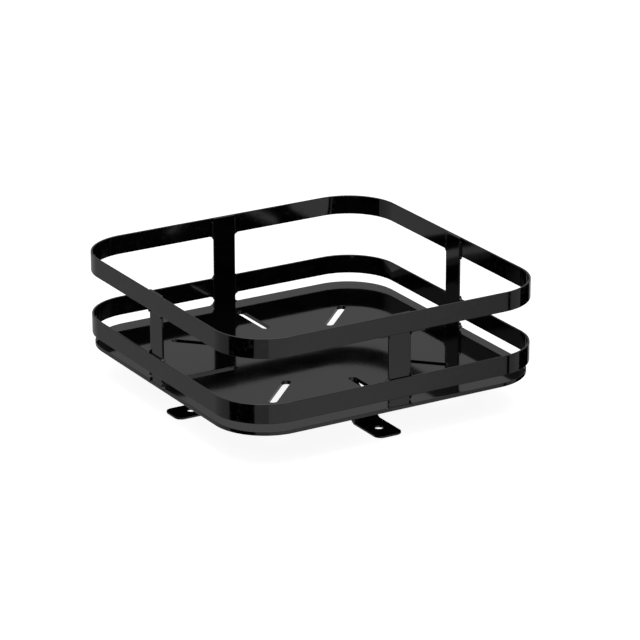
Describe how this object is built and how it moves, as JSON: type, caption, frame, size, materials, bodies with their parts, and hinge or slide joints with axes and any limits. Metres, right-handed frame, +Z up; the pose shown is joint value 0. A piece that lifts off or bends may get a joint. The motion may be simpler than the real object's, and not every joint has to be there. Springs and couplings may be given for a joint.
{
  "type": "roof cargo basket",
  "caption": "Low square cargo basket: a slotted floor plate, two flat-bar hoops on mid-side posts, and bent strip feet with bolt holes, painted gloss black.",
  "frame": {"origin": "centre of the basket at the ground, in the plane of the feet's undersides", "axes": "+Z up, X and Y along the basket's two equal sides, the basket open upward"},
  "size_m": [0.35, 0.35, 0.132],
  "materials": {
    "plate_paint": "gloss black powder coat, slightly soft mirror",
    "bar_paint": "gloss black powder coat",
    "foot_paint": "gloss black powder coat"
  },
  "bodies": {
    "root": {"Floor_plate": "plate_paint", "Lower_hoop": "bar_paint", "Upper_hoop": "bar_paint", "Post_right": "bar_paint", "Post_back": "bar_paint", "Post_left": "bar_paint", "Post_front": "bar_paint", "Foot_right": "foot_paint", "Foot_back": "foot_paint", "Foot_left": "foot_paint", "Foot_front": "foot_paint"}
  },
  "joints": []
}
